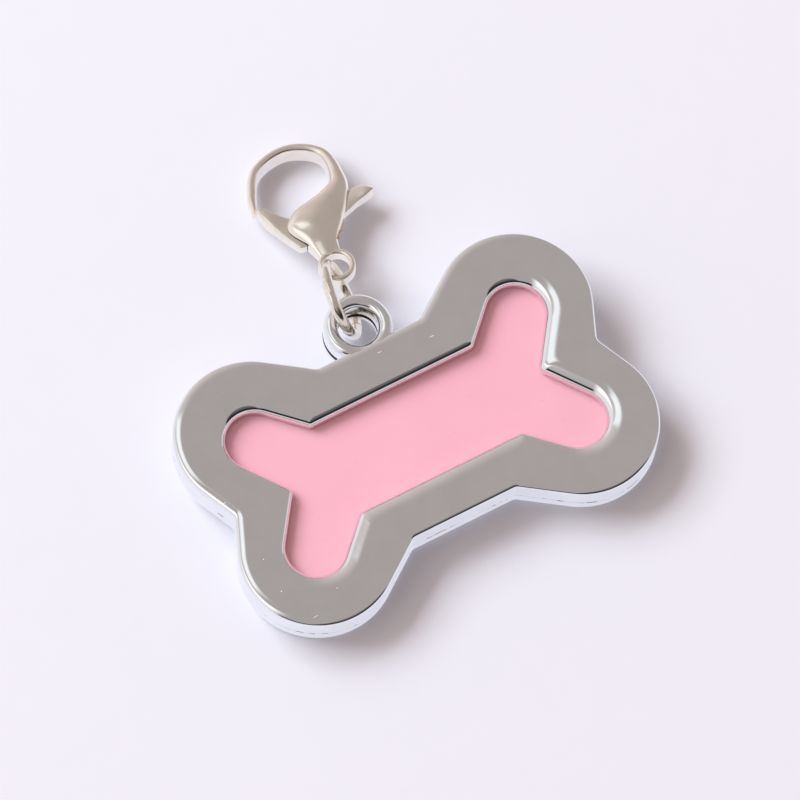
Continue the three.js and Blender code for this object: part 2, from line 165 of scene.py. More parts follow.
# Trigger lever and its slot, in millimetres of the clasp's plane.
PIN_BORE = 0.51
LEVER_DEPTH = 1.1
LEVER_CROWN = 0.25
LEVER_GAP = 0.09
LEVER_EDGES = [
    # top edge, under edge, depth, from the finger's end to the thumb tab's tip
    ((-4.88, 7.42), (-5.52, 7.1), 1.3),
    ((-3.97, 6.49), (-5.05, 5.9), 1.4),
    ((-2.8, 5.75), (-4.25, 4.6), 1.15),
    ((-1.9, 5.78), (-3.45, 3.45), LEVER_DEPTH),
    ((-0.9, 5.98), (-2.65, 2.55), LEVER_DEPTH),
    ((-0.3, 6.15), (-1.9, 2.62), LEVER_DEPTH),
    ((0.3, 6.34), (-0.9, 3.6), LEVER_DEPTH),
    ((1.2, 6.62), (1.5, 4.75), LEVER_DEPTH),
    ((2.8, 7.12), (2.7, 5.47), 1.15),
    ((3.4, 7.42), (3.4, 5.9), 1.25),
    ((4.35, 7.3), (4.5, 6.42), 1.55),
    ((5.03, 6.87), (5.02, 6.73), 1.45),
]
LEVER_UNDER_ROOF = LEVER_EDGES[4:10]
SLOT_FLOOR = 2.5
SLOT_ROOF_GAP = 0.2
SLOT_OVERRUN = 1

# Leaf spring in the slot, in millimetres: a foot over its floor, a bend, an arm to the lever.
LEAF_THICKNESS = 0.16
LEAF_WIDTH = 0.8
LEAF_CROWN = 0.1
LEAF_FOOT = (0.65, 2.68)
LEAF_BEND = (-0.363, 2.8)
LEAF_BEND_RADIUS = 0.12
LEAF_FOOT_DEG = 270
LEAF_ARM_DEG = 130
LEAF_END = (1, 4.1)

# Fineness of the dressed meshes.
LOBE_STEPS = 64
FILLET_STEPS = 10
ROUND_STEPS = 8
EDGE_STEPS = 14
ROLL_STEPS = 18
TURN_STEPS = 128
WIRE_SIDES = 40
BODY_RINGS = 220
LEVER_RINGS = 140
LEAF_STEPS = 14
PIN_BORE_STEPS = 48
FACE_STEPS = 24
SHARP = math.radians(32)

# Camera, fitted to the bone in the photograph, in the frame of the tag's front face.
PHOTO_PIXELS = 800
FOCAL_PIXELS = 8000
SENSOR = 36
LENS_REACH = 10
CAMERA_PLACE = Vector((-145.9, -197.54, 651.9)) * MM
CAMERA_TURN = Euler([math.radians(a) for a in (20.627, -2.847, -28.513)])


# Frames of the bodies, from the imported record

def placed(origin, x, y, z):
    """Matrix of a frame with these axes."""
    return Matrix.Translation(origin) @ Matrix((x, y, z)).transposed().to_4x4()


def tag_frame():
    mount = next(m for m in frame["record"]["mounts"] if m["name"] == "back_face")
    z = -Vector(mount["axis"]).normalized()
    x = Vector((1, 0, 0))
    return placed(Vector(mount["pos_m"]), x, z.cross(x), z)


def joint_named(name):
    """Place and axis of a joint."""
    joint = next(j for j in frame["record"]["behaviour"]["joints"] if j["name"] == name)
    return Vector(joint["pos_m"]), Vector(joint["axis"]).normalized()


def ring_frame():
    across = joint_named("ring_swing")[1]
    ahead = Vector((0, 0, 1)).cross(across).normalized()
    low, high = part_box("jump_ring")
    return placed((low + high) / 2, ahead, across.cross(ahead), across)


def clasp_frame():
    pin, axis = joint_named("trigger_press")
    z = -axis
    x = Vector((z.y, -z.x, 0)).normalized()
    turned = placed(Vector(), x, z.cross(x), z)
    return Matrix.Translation(pin - turned @ PIN) @ turned


TAG = tag_frame()
RING = ring_frame()
CLASP = clasp_frame()


# Node trees written as expressions

class Wire:
    """A socket of a node tree. Arithmetic on it adds Math nodes."""

    def __init__(self, tree, socket):
        self.tree = tree
        self.socket = socket

    def maths(self, operation, first, second):
        return self.tree.add("ShaderNodeMath", {"operation": operation}, {0: first, 1: second})

    def __add__(self, other):
        return self.maths("ADD", self, other)

    def __radd__(self, other):
        return self.maths("ADD", other, self)

    def __sub__(self, other):
        return self.maths("SUBTRACT", self, other)

    def __rsub__(self, other):
        return self.maths("SUBTRACT", other, self)

    def __mul__(self, other):
        return self.maths("MULTIPLY", self, other)

    def __rmul__(self, other):
        return self.maths("MULTIPLY", other, self)

    def __truediv__(self, other):
        return self.maths("DIVIDE", self, other)

    def __rtruediv__(self, other):
        return self.maths("DIVIDE", other, self)

    def size(self):
        return self.maths("ABSOLUTE", self, 0)

    def root(self):
        return self.maths("SQRT", self, 0)

    def above(self, low, high):
        """0 up to low, 1 from high on, and smooth between."""
        settings = {"interpolation_type": "SMOOTHSTEP"}
        inputs = {"Value": self, "From Min": low, "From Max": high}
        return self.tree.add("ShaderNodeMapRange", settings, inputs)


class Tree:
    """A node tree whose nodes all come from add."""

    def __init__(self, node_tree):
        self.nodes = node_tree.nodes
        self.links = node_tree.links
        self.nodes.clear()

    def add(self, kind, settings=None, inputs=None, output=0):
        node = self.nodes.new(kind)
        for name, value in (settings or {}).items():
            setattr(node, name, value)
        for name, value in (inputs or {}).items():
            if isinstance(value, Wire):
                self.links.new(value.socket, node.inputs[name])
            else:
                node.inputs[name].default_value = value
        return Wire(self, node.outputs[output]) if node.outputs else node

    def object_place(self, scale=(1, 1, 1), turn=(0, 0, 0)):
        place = self.add("ShaderNodeTexCoord", output="Object")
        inputs = {"Vector": place, "Scale": scale, "Rotation": turn}
        return self.add("ShaderNodeMapping", inputs=inputs)

    def noise(self, place, size, detail=2, roughness=0.5):
        """Noise whose features are about size across."""
        inputs = {"Vector": place, "Scale": 1 / size, "Detail": detail, "Roughness": roughness}
        return self.add("ShaderNodeTexNoise", inputs=inputs)

    def dot(self, place, way):
        settings = {"operation": "DOT_PRODUCT"}
        return self.add("ShaderNodeVectorMath", settings, {0: place, 1: way}, output="Value")

    def mix(self, factor, first, second, blend="MIX"):
        """Blend of two colours."""
        settings = {"data_type": "RGBA", "blend_type": blend}
        return self.add("ShaderNodeMix", settings, {0: factor, 6: first, 7: second}, output=2)

    def bump(self, height, distance, strength=1):
        inputs = {"Height": height, "Distance": distance, "Strength": strength}
        return self.add("ShaderNodeBump", inputs=inputs)


def material(name, paint):
    """Material whose surface paint makes: it takes the tree and returns the shader's inputs."""
    made = bpy.data.materials.new(name)
    made.use_nodes = True
    tree = Tree(made.node_tree)
    surface = tree.add("ShaderNodeBsdfPrincipled", inputs=paint(tree))
    tree.add("ShaderNodeOutputMaterial", inputs={"Surface": surface})
    return made


def rgb(red, green, blue):
    return (red, green, blue, 1)


# Finishes

CHROME_BRIGHT = rgb(0.88, 0.87, 0.87)
CHROME_DULL = rgb(0.85, 0.84, 0.845)
CHROME_DUST = rgb(0.93, 0.93, 0.93)
# Colour of the painted shade in the seam gap between the two halves.
SEAM_SHADE_DARK = rgb(0.04, 0.035, 0.035)
NICKEL_BRIGHT = rgb(0.96, 0.87, 0.78)
NICKEL_DULL = rgb(0.91, 0.82, 0.72)
WIRE_BRIGHT = rgb(0.9, 0.835, 0.73)
WIRE_DULL = rgb(0.81, 0.745, 0.64)
STEEL_BRIGHT = rgb(0.55, 0.55, 0.56)
STEEL_DULL = rgb(0.46, 0.46, 0.47)
CARD_PINK = rgb(0.99, 0.535, 0.655)
CARD_DEEP = rgb(0.97, 0.515, 0.635)
CARD_FIBRE = rgb(0.98, 0.58, 0.68)
CARD_MARK = rgb(0.72, 0.34, 0.44)

# Noise levels between which a bright plating goes dull.
HAZE = (0.35, 0.7)

# How far past its share of the noise a scratch takes to come up in full.
SCRATCH_EDGE = 0.04

# Painted shade in the seam gap, a dark line: its half width, the noise that breaks it, and its
# stretch round the lug.
SEAM_SHADE_REACH = 0.11 * MM
SEAM_SHADE_CORE = (0.4, 1)
SEAM_SHADE_DASH = 1.1 * MM
SEAM_SHADE_BREAKS = (0.55, 0.61)
SEAM_SHADE_LUG_REACH = 0.34 * MM
SEAM_SHADE_LUG_START = 0.2 * MM
SEAM_SHADE_LUG_SIDES = (0.1 * MM, 0.3 * MM)


def flecks(tree, cell, share, length, width, turn):
    """Rare marks on a face that lies flat: this share of its cells holds one each."""
    shape = (1 / cell, length / width / cell, 1)
    place = tree.object_place(scale=shape, turn=(0, 0, turn))
    settings = {"feature": "F1", "voronoi_dimensions": "2D"}
    inputs = {"Vector": place, "Scale": 1}
    near = tree.add("ShaderNodeTexVoronoi", settings, inputs, output="Distance")
    chance = tree.add("ShaderNodeTexVoronoi", settings, inputs, output="Color")
    red = tree.add("ShaderNodeSeparateColor", inputs={"Color": chance})
    half = length / 2 / cell
    return (1 - near.above(half / 2, half)) * red.above(1 - share, 1 - share / 2)


def hairlines(tree, turn, length, width, share):
    """Fine scratches along one direction."""
    place = tree.object_place(scale=(1 / length, 1 / width, 1 / length), turn=(0, 0, turn))
    line = tree.add("ShaderNodeTexNoise", inputs={"Vector": place, "Scale": 1, "Detail": 1})
    return line.above(1 - share, 1 - share + SCRATCH_EDGE)


def painted_seam_shade(tree, place):
    """Painted shade, a dark line in the gap where the two halves meet: broken round the bone, whole
    and wider round the lug.
    """
    def distance(axis):
        along = TAG.col[axis].xyz
        return tree.dot(place, along) - TAG.translation.dot(along)

    start = LUG_Y - LUG_HOLE
    sides = [LUG_HOLE + LUG_BAND + more for more in SEAM_SHADE_LUG_SIDES]
    lug = distance(1).above(start, start + SEAM_SHADE_LUG_START)
    lug = lug * (1 - distance(0).size().above(*sides))
    off = (distance(2) - PLATE_THICKNESS).size() / (SEAM_SHADE_REACH + lug * SEAM_SHADE_LUG_REACH)
    broken = tree.noise(place, SEAM_SHADE_DASH, detail=3).above(*SEAM_SHADE_BREAKS)
    return (1 - off.above(*SEAM_SHADE_CORE)) * (broken * (1 - lug) + lug)


def chrome_finish(tree):
    place = tree.object_place()
    waves = tree.noise(place, 5 * MM, detail=1)
    haze = tree.noise(place, 2.5 * MM, detail=4)
    long_lines = hairlines(tree, turn=0.6, length=2.2 * MM, width=0.05 * MM, share=0.31)
    short_lines = hairlines(tree, turn=-0.9, length=1.5 * MM, width=0.04 * MM, share=0.3)
    dots = flecks(tree, 2.2 * MM, share=0.045, length=0.15 * MM, width=0.12 * MM, turn=0)
    dashes = flecks(tree, 4.1 * MM, share=0.018, length=0.6 * MM, width=0.08 * MM, turn=1.9)
    scratches = long_lines + short_lines
    specks = dots + dashes
    # Painted shade in the seam gap: a dark line mixed into the base colour, and rougher there too.
    seam_shade = painted_seam_shade(tree, place)
    plate = tree.mix(haze.above(*HAZE), CHROME_BRIGHT, CHROME_DULL)
    dusty = tree.mix(specks, plate, CHROME_DUST)
    return {
        "Base Color": tree.mix(seam_shade, dusty, SEAM_SHADE_DARK),
        "Metallic": 1 - specks,
        "Roughness": 0.045 + haze * 0.03 + scratches * 0.12 + (specks + seam_shade) * 0.4,
        "Normal": tree.bump(waves, 0.03 * MM),
    }


def nickel_finish(tree):
    place = tree.object_place()
    cast = tree.noise(place, 0.9 * MM, detail=2)
    haze = tree.noise(place, 1.6 * MM, detail=4)
    specks = flecks(tree, 1.3 * MM, share=0.2, length=0.2 * MM, width=0.06 * MM, turn=0.7)
    return {
        "Base Color": tree.mix(haze.above(*HAZE), NICKEL_BRIGHT, NICKEL_DULL),
        "Metallic": 1,
        "Roughness": 0.15 + haze * 0.09 + specks * 0.2,
        "Normal": tree.bump(cast, 0.012 * MM),
    }


def wire_finish(tree):
    drawn = tree.noise(tree.object_place(), 0.5 * MM, detail=3)
    return {
        "Base Color": tree.mix(drawn.above(*HAZE), WIRE_BRIGHT, WIRE_DULL),
        "Metallic": 1,
        "Roughness": 0.11 + drawn * 0.08,
        "Normal": tree.bump(drawn, 0.006 * MM),
    }


def steel_finish(tree):
    grain = tree.noise(tree.object_place(scale=(1, 1, 8)), 0.5 * MM, detail=3)
    return {
        "Base Color": tree.mix(grain, STEEL_BRIGHT, STEEL_DULL),
        "Metallic": 1,
        "Roughness": 0.25 + grain * 0.15,
    }


def card_finish(tree):
    place = tree.object_place()
    fibres = tree.noise(place, 0.25 * MM, detail=4, roughness=0.65)
    cloud = tree.noise(place, 6 * MM, detail=2)
    dots = flecks(tree, 2.6 * MM, share=0.2, length=0.12 * MM, width=0.1 * MM, turn=0)
    threads = flecks(tree, 3.6 * MM, share=0.16, length=0.7 * MM, width=0.07 * MM, turn=0.4)
    paper = tree.mix(cloud.above(0.3, 0.7), CARD_PINK, CARD_DEEP)
    grained = tree.mix(fibres.above(0.5, 0.75) * 0.25, paper, CARD_FIBRE)
    return {
        "Base Color": tree.mix((dots + threads) * 0.35, grained, CARD_MARK),
        "Roughness": 0.62 + fibres * 0.2,
        "Specular IOR Level": 0.2,
        "Normal": tree.bump(fibres, 0.012 * MM, strength=0.5),
    }


CHROME = material("chrome_plate", chrome_finish)
NICKEL = material("nickel_cast", nickel_finish)
WIRE = material("nickel_wire", wire_finish)
STEEL = material("bright_steel", steel_finish)
CARD = material("pink_card", card_finish)


# Mesh building

def arc(centre, radius, from_deg, to_deg, steps):
    turn = np.radians(np.linspace(from_deg, to_deg, steps + 1))
    return np.c_[centre[0] + radius * np.cos(turn), centre[1] + radius * np.sin(turn)]


def bone_outline(bone, grow, soft=0):
    """Bone outline, counter-clockwise, moved outward by grow, its corners made rounder by soft."""
    fillet = max(bone["fillet"] - grow, LEAST_FILLET) + soft
    radius = bone["lobe"] + grow
    half = bone["waist"] / 2 + grow
    lobe = (bone["length"] / 2 - bone["lobe"], bone["width"] / 2 - bone["lobe"])
    shoulder = math.radians(bone["shoulder"])
    notch = math.radians(bone["notch"])
    notch_x = lobe[0] + (radius + fillet + lobe[1] * math.sin(notch)) / math.cos(notch)
    rise = (half + fillet - lobe[1]) * math.sin(shoulder)
    shoulder_x = lobe[0] + (radius + fillet - rise) / math.cos(shoulder)
    quarter = np.vstack([
        arc((notch_x, 0), fillet, 180, 180 + bone["notch"], FILLET_STEPS),
        arc(lobe, radius, bone["notch"], bone["shoulder"], LOBE_STEPS),
        arc((shoulder_x, half + fillet), fillet, bone["shoulder"] + 180, 270, FILLET_STEPS),
    ])
    upper = np.vstack([quarter, quarter[::-1] * (-1, 1)])
    return np.vstack([upper, upper[-2:0:-1] * (1, -1)])


def level(bone, z, grow, soft=0):
    """Bone outline at a height."""
    outline = bone_outline(bone, grow, soft)
    return np.c_[outline, np.full(len(outline), z)]


def band(rings, closed):
    """Points and quads through rings of points; closed joins the last ring to the first."""
    count = len(rings[0])
    points = np.vstack(rings)
    last = len(rings) if closed else len(rings) - 1
    faces = []
    for ring in range(last):
        low = ring * count
        high = (ring + 1) % len(rings) * count
        for i in range(count):
            j = (i + 1) % count
            faces.append((low + i, low + j, high + j, high + i))
    return points, faces


def capped(rings):
    """Points and faces through rings of points, with a face over each end."""
    points, faces = band(rings, closed=False)
    count = len(rings[0])
    last = len(points) - count
    return points, [tuple(range(count))[::-1], *faces, tuple(range(last, last + count))]


def turned_ring(inner, outer, bottom, top, rounds, centre=(0, 0)):
    """Ring about Z with a rounded section. Its corners: low in, low out, top out, top in."""
    low_in, low_out, top_out, top_in = rounds
    section = np.vstack([
        arc((inner + low_in, bottom + low_in), low_in, 180, 270, ROUND_STEPS),
        arc((outer - low_out, bottom + low_out), low_out, 270, 360, ROUND_STEPS),
        arc((outer - top_out, top - top_out), top_out, 0, 90, ROUND_STEPS),
        arc((inner + top_in, top - top_in), top_in, 90, 180, ROUND_STEPS),
    ])
    reach, height = section.T
    rings = [
        np.c_[centre[0] + reach * math.cos(t), centre[1] + reach * math.sin(t), height]
        for t in np.radians(np.linspace(0, 360, TURN_STEPS, endpoint=False))
    ]
    return band(rings, closed=True)


def piece(name, shells, finish, place):
    """Object of closed shells, each points and faces, with outward normals."""
    mesh = bpy.data.meshes.new(name)
    work = bmesh.new()
    for points, faces in shells:
        corners = [work.verts.new(place @ Vector(p)) for p in points]
        for face in faces:
            work.faces.new([corners[i] for i in face])
    bmesh.ops.recalc_face_normals(work, faces=work.faces)
    work.to_mesh(mesh)
    work.free()
    return finished(name, mesh, finish)


def finished(name, mesh, finish):
    """Object of a mesh, shaded smooth with its sharp edges kept."""
    mesh.shade_smooth()
    mesh.set_sharp_from_angle(angle=SHARP)
    mesh.materials.clear()
    mesh.materials.append(finish)
    made = bpy.data.objects.new(name, mesh)
    bpy.context.scene.collection.objects.link(made)
    return made


def baked(source):
    """Plain mesh of an object with its modifiers applied; the object is removed."""
    seen = source.evaluated_get(bpy.context.evaluated_depsgraph_get())
    mesh = bpy.data.meshes.new_from_object(seen)
    bpy.data.objects.remove(source)
    return mesh


def cut_away(host, tool):
    """Plain mesh of the host without the tool's space; both objects are removed."""
    cut = host.modifiers.new("cut", "BOOLEAN")
    cut.operation = "DIFFERENCE"
    cut.solver = "EXACT"
    cut.object = tool
    mesh = baked(host)
    bpy.data.objects.remove(tool)
    return mesh


# Tag

def quarter_round(width, height, steps):
    """Pairs of how far an edge has drawn in and risen, from its wall to its face."""
    turn = np.radians(np.linspace(0, 90, steps + 1))
    return zip(width * (1 - np.cos(turn)), height * np.sin(turn))


def lug_ring(bottom, top, rounds):
    return turned_ring(LUG_HOLE, LUG_HOLE + LUG_BAND, bottom, top, rounds, (0, LUG_Y))


def front_bezel():
    wall_top = TAG_THICKNESS - EDGE_ROUND
    roll_bottom = TAG_THICKNESS - ROLL_DEPTH
    edge = [
        level(TAG_BONE, wall_top + rise, -inset - HAIR)
        for inset, rise in quarter_round(EDGE_REACH, EDGE_ROUND, EDGE_STEPS)
    ]
    roll = [
        level(WINDOW_BONE, roll_bottom + rise, inset - WINDOW_INSET, ROLL_SOFTENING * inset)
        for inset, rise in quarter_round(ROLL_WIDTH, ROLL_DEPTH, ROLL_STEPS)
    ]
    rim = [
        level(TAG_BONE, BEZEL_BOTTOM, -SEAM_BREAK - HAIR),
        level(TAG_BONE, BEZEL_BOTTOM + SEAM_BREAK, -HAIR),
        *edge,
        level(TAG_BONE, TAG_THICKNESS, -EDGE_REACH - EDGE_SUPPORT),
        *roll[::-1],
        level(WINDOW_BONE, LIP_BOTTOM, -WINDOW_INSET),
        level(WINDOW_BONE, LIP_BOTTOM, RABBET_GROW),
        level(WINDOW_BONE, BEZEL_BOTTOM, RABBET_GROW),
    ]
    rounds = (LUG_SEAM_ROUND, LUG_SEAM_ROUND, LUG_OUTER_ROUND, LUG_INNER_ROUND)
    lug = lug_ring(BEZEL_BOTTOM, TAG_THICKNESS - LUG_STEP, rounds)
    return piece("bezel", [band(rim, closed=True), lug], CHROME, TAG)


def back_plate():
    edge = [
        level(TAG_BONE, BACK_ROUND - rise, -inset - HAIR)
        for inset, rise in quarter_round(BACK_ROUND, BACK_ROUND, ROUND_STEPS)
    ]
    sheet = [
        level(TAG_BONE, 0, -BACK_ROUND - EDGE_SUPPORT),
        *edge[::-1],
        level(TAG_BONE, PLATE_THICKNESS - SEAM_BREAK, -HAIR),
        level(TAG_BONE, PLATE_THICKNESS, -SEAM_BREAK - HAIR),
    ]
    rounds = (LUG_BACK_ROUND, LUG_BACK_ROUND, LUG_SEAM_ROUND, LUG_SEAM_ROUND)
    lug = lug_ring(0, PLATE_THICKNESS, rounds)
    return piece("plate", [capped(sheet), lug], CHROME, TAG)


# Jump ring

def ring_tree(names):
    """Geometry tree of a wire bent round a circle and left open by a cut."""
    group = bpy.data.node_groups.new("wire_ring", "GeometryNodeTree")
    for name in names:
        group.interface.new_socket(name, in_out="INPUT", socket_type="NodeSocketFloat")
    group.interface.new_socket("Geometry", in_out="OUTPUT", socket_type="NodeSocketGeometry")
    tree = Tree(group)
    given = tree.add("NodeGroupInput").socket.node.outputs
    ring, thickness, cut, start = (Wire(tree, given[name]) for name in names)
    path = tree.add("GeometryNodeCurveArc", inputs={
        "Resolution": TURN_STEPS,
        "Radius": ring,
        "Start Angle": start,
        "Sweep Angle": 2 * math.pi - cut,
    })
    section = tree.add("GeometryNodeCurvePrimitiveCircle", inputs={
        "Resolution": WIRE_SIDES,
        "Radius": thickness,
    })
    wire = tree.add("GeometryNodeCurveToMesh", inputs={
        "Curve": path,
        "Profile Curve": section,
        "Fill Caps": True,
    })
    realized = tree.add("GeometryNodeRealizeInstances", inputs={"Geometry": wire})
    painted = tree.add("GeometryNodeSetMaterial", inputs={"Geometry": realized, "Material": WIRE})
    tree.add("NodeGroupOutput", inputs={"Geometry": painted})
    return group


def jump_ring():
    cut = RING_CUT / RING_RADIUS
    sizes = {
        "Ring Radius": RING_RADIUS,
        "Wire Radius": WIRE_RADIUS,
        "Cut Angle": cut,
        "Start Angle": math.radians(RING_CUT_DEG) + cut / 2,
    }
    host = bpy.data.objects.new("ring_host", bpy.data.meshes.new("ring_host"))
    bpy.context.scene.collection.objects.link(host)
    maker = host.modifiers.new("wire_ring", "NODES")
    maker.node_group = ring_tree(sizes)
    for name, size in sizes.items():
        maker[maker.node_group.interface.items_tree[name].identifier] = size
    mesh = baked(host)
    mesh.transform(RING)
    return finished("ring_wire", mesh, WIRE)


# Clasp

def smooth(points, steps):
    """Centripetal curve through points, its steps shared evenly among the stretches."""
    points = np.asarray(points, float)
    track = np.vstack([2 * points[0] - points[1], points, 2 * points[-1] - points[-2]])
    stretches = len(track) - 3
    made = []
    for place in np.linspace(0, stretches, steps + 1):
        i = min(int(place), stretches - 1)
        made.append(stretch_point(track[i:i + 4], place - i))
    return np.array(made)


def stretch_point(four, share):
    """Point of a centripetal stretch between the middle two of four points."""
    spans = np.linalg.norm(np.diff(four, axis=0), axis=1) ** 0.5
    knots = np.concatenate([[0], np.cumsum(spans)])
    t = knots[1] + share * (knots[2] - knots[1])

    def between(a, b, low, high):
        return ((knots[high] - t) * a + (t - knots[low]) * b) / (knots[high] - knots[low])

    lines = [between(four[i], four[i + 1], i, i + 1) for i in range(3)]
    bends = [between(lines[i], lines[i + 1], i, i + 2) for i in range(2)]
    return between(*bends, 1, 2)


def body_edges():
    """Left edge, right edge and depth along the teardrop and round the hook."""
    edges = list(BODY_EDGES)
    for angle, radius, width, depth in HOOK_SECTIONS:
        way = np.array((math.cos(math.radians(angle)), math.sin(math.radians(angle))))
        outer = radius - HAIR / MM
        edges.append((HOOK_CENTRE + way * (radius - width), HOOK_CENTRE + way * outer, depth))
    return edges


def crowned(half, depth, crown):
    """Section with straight walls and crowned faces: shares of the half width, and heights."""
    rise = min(half, crown * depth)
    turn = np.radians(np.linspace(0, 180, FACE_STEPS + 1))
    reach = np.hypot(half * np.cos(turn), rise * np.sin(turn))
    share = half * np.cos(turn) / reach
    height = depth - rise + rise ** 2 * np.sin(turn) / reach
    return np.r_[share, -share], np.r_[height, -height]


def crowned_bar(edges, steps, crown):
    """Points and faces of a bar that runs between two edges with a changing depth."""
    left, right = (smooth([(*e[side], e[2] / 2) for e in edges], steps) * MM for side in (0, 1))
    rings = []
    for a, b in zip(left, right):
        middle = (a + b) / 2
        half = (b - a) / 2
        share, height = crowned(math.hypot(half[0], half[1]), middle[2], crown)
        rings.append(np.c_[middle[0] + half[0] * share, middle[1] + half[1] * share, height])
    return capped(rings)


def slab(outline, depth):
    """Points and faces of a flat plate, centred on Z zero, from millimetres."""
    flat = np.asarray(outline, float) * MM
    half = depth * MM / 2
    return capped([np.c_[flat, np.full(len(flat), z)] for z in (-half, half)])


def lever_slot():
    left = BELLY[0][0] - SLOT_OVERRUN
    right = HOOK_ROOT[1][0] + SLOT_OVERRUN
    top = HOOK_ROOT[0][1]
    roof = [(x, y + SLOT_ROOF_GAP) for (x, y), _, _ in LEVER_UNDER_ROOF]
    floor_line = [(left, SLOT_FLOOR), (right, SLOT_FLOOR)]
    outline = [*floor_line, (right, top), *roof[::-1], (roof[0][0], top), (left, top)]
    return slab(outline, LEVER_DEPTH + 2 * LEVER_GAP)


def clasp_body():
    bar = crowned_bar(body_edges(), BODY_RINGS, BODY_CROWN)
    host = piece("body_host", [bar], NICKEL, CLASP)
    slot = piece("body_slot", [lever_slot()], NICKEL, CLASP)
    mesh = cut_away(host, slot)
    outer = EYELET_HOLE + EYELET_BAND
    rounds = (EYELET_ROUND,) * 4
    points, faces = turned_ring(EYELET_HOLE, outer, -EYELET_HALF, EYELET_HALF, rounds)
    work = bmesh.new()
    work.from_mesh(mesh)
    corners = [work.verts.new(CLASP @ Vector(p)) for p in points]
    eyelet = [work.faces.new([corners[i] for i in face]) for face in faces]
    bmesh.ops.recalc_face_normals(work, faces=eyelet)
    work.to_mesh(mesh)
    work.free()
    return finished("clasp_casting", mesh, NICKEL)


def clasp_trigger():
    bar = crowned_bar(LEVER_EDGES, LEVER_RINGS, LEVER_CROWN)
    circle = arc(PIN.xy / MM, PIN_BORE, 0, 360, PIN_BORE_STEPS)[:-1]
    host = piece("lever_host", [bar], NICKEL, CLASP)
    bore = piece("lever_bore", [slab(circle, 2 * LEVER_DEPTH)], NICKEL, CLASP)
    return finished("clasp_lever", cut_away(host, bore), NICKEL)


def leaf_spring():
    bend = arc(LEAF_BEND, LEAF_BEND_RADIUS, LEAF_FOOT_DEG, LEAF_ARM_DEG, LEAF_STEPS)
    foot = np.linspace(LEAF_FOOT, bend[0], LEAF_STEPS, endpoint=False)
    arm = np.linspace(LEAF_END, bend[-1], LEAF_STEPS, endpoint=False)[::-1]
    path = np.vstack([foot, bend, arm])
    along = np.gradient(path, axis=0)
    along /= np.linalg.norm(along, axis=1)[:, None]
    side = along[:, ::-1] * (-1, 1) * LEAF_THICKNESS / 2
    edges = [(p + s, p - s, LEAF_WIDTH) for p, s in zip(path, side)]
    bar = crowned_bar(edges, len(edges) - 1, LEAF_CROWN)
    return piece("leaf_spring", [bar], STEEL, CLASP)


# Stage

FLOOR_HALF = 1.5
FLOOR_GRAIN = 3 * MM
FLOOR_PALE = rgb(0.86, 0.892, 0.99)
FLOOR_FIBRE = rgb(0.845, 0.878, 0.975)
FLOOR_MIRRORED = rgb(0.94, 0.955, 1.085)
FLOOR_MIRROR_SHARE = 0.75

LAMP_WAY = Vector((-0.43, 0.66, 0.62))
LAMP_DISTANCE = 1.4
LAMP_SIZE = (1.1, 0.65)
LAMP_POWER = 19.75
LAMP_COLOUR = (0.945, 0.985, 1.04)

# Room that the metal mirrors. A way is a direction to measure along, and a pair of numbers is
# the stretch over which the edge of a patch fades.
SHADE_WAY = (-0.6, 0.8, 0)
SHADE_RANGE = (0.1, 0.75)
ROOM_DEEP = rgb(0.43, 0.398, 0.39)
ROOM_PALE = rgb(0.66, 0.61, 0.59)
WINDOW_WAY = (-0.866, 0.5, 0)
WINDOW_SIDES = (0.4, 0.78)
WINDOW_TOP_WAY = (0, 0.45, 1)
WINDOW_TOP = (0.84, 0.94)
WINDOW_PALE = rgb(0.86, 0.865, 0.9)
GLARE_SIDES = (0.5, 0.95)
GLARE_BOTTOM = (0.62, 0.74)
GLARE_PALE = rgb(1.5, 1.47, 1.47)
PANEL_LEFT = (-0.43, -0.29)
PANEL_RIGHT = (-0.1, 0.09)
PANEL_NEAR = (0.1, 0.22)
PANEL_FAR_WAY = (0.9, 1, 0)
PANEL_FAR = (0.36, 0.5)
PANEL_BOTTOM = (0.5, 0.6)
PANEL_PALE = rgb(1.01, 1.06, 1.09)
NEAR_WAY = (0.26, -0.966, 0)
NEAR_SIDES = (0.12, 0.25)
DARK_TOP_WAY = (0.25, 0, 1)
DARK_TOP = (0.36, 0.46)
DARK_PATCH_WAY = (0.17, -0.97, 0.17)
DARK_PATCH = (0.7, 0.78)
DARK_LIFT = (0.46, 0.76)
DARK_LOW = rgb(0.02, 0.02, 0.022)
DARK_HIGH = rgb(0.17, 0.162, 0.162)
SKIRT_TOP = (0.2, 0.31)
SKIRT_PALE = rgb(0.75, 0.74, 0.79)
SOFT_TINT = rgb(1.02, 0.85, 0.76)

# Keeps the level part of a direction above zero straight up and down.
LEAST_LEVEL = 0.0001


def floor_finish():
    """Pale table that metal mirrors as mostly unshaded."""
    made = bpy.data.materials.new("pale_table")
    made.use_nodes = True
    tree = Tree(made.node_tree)
    fibre = tree.noise(tree.object_place(), FLOOR_GRAIN, detail=3)
    colour = tree.mix(fibre, FLOOR_PALE, FLOOR_FIBRE)
    inputs = {"Base Color": colour, "Roughness": 0.6}
    table = tree.add("ShaderNodeBsdfPrincipled", inputs=inputs)
    mirrored = tree.add("ShaderNodeEmission", inputs={"Color": FLOOR_MIRRORED})
    share = tree.add("ShaderNodeLightPath", output="Is Glossy Ray") * FLOOR_MIRROR_SHARE
    surface = tree.add("ShaderNodeMixShader", inputs={0: share, 1: table, 2: mirrored})
    tree.add("ShaderNodeOutputMaterial", inputs={"Surface": surface})
    return made


def floor():
    corners = [(-1, -1, 0), (1, -1, 0), (1, 1, 0), (-1, 1, 0)]
    points = np.array(corners) * FLOOR_HALF
    made = piece("floor", [(points, [(0, 1, 2, 3)])], floor_finish(), Matrix())


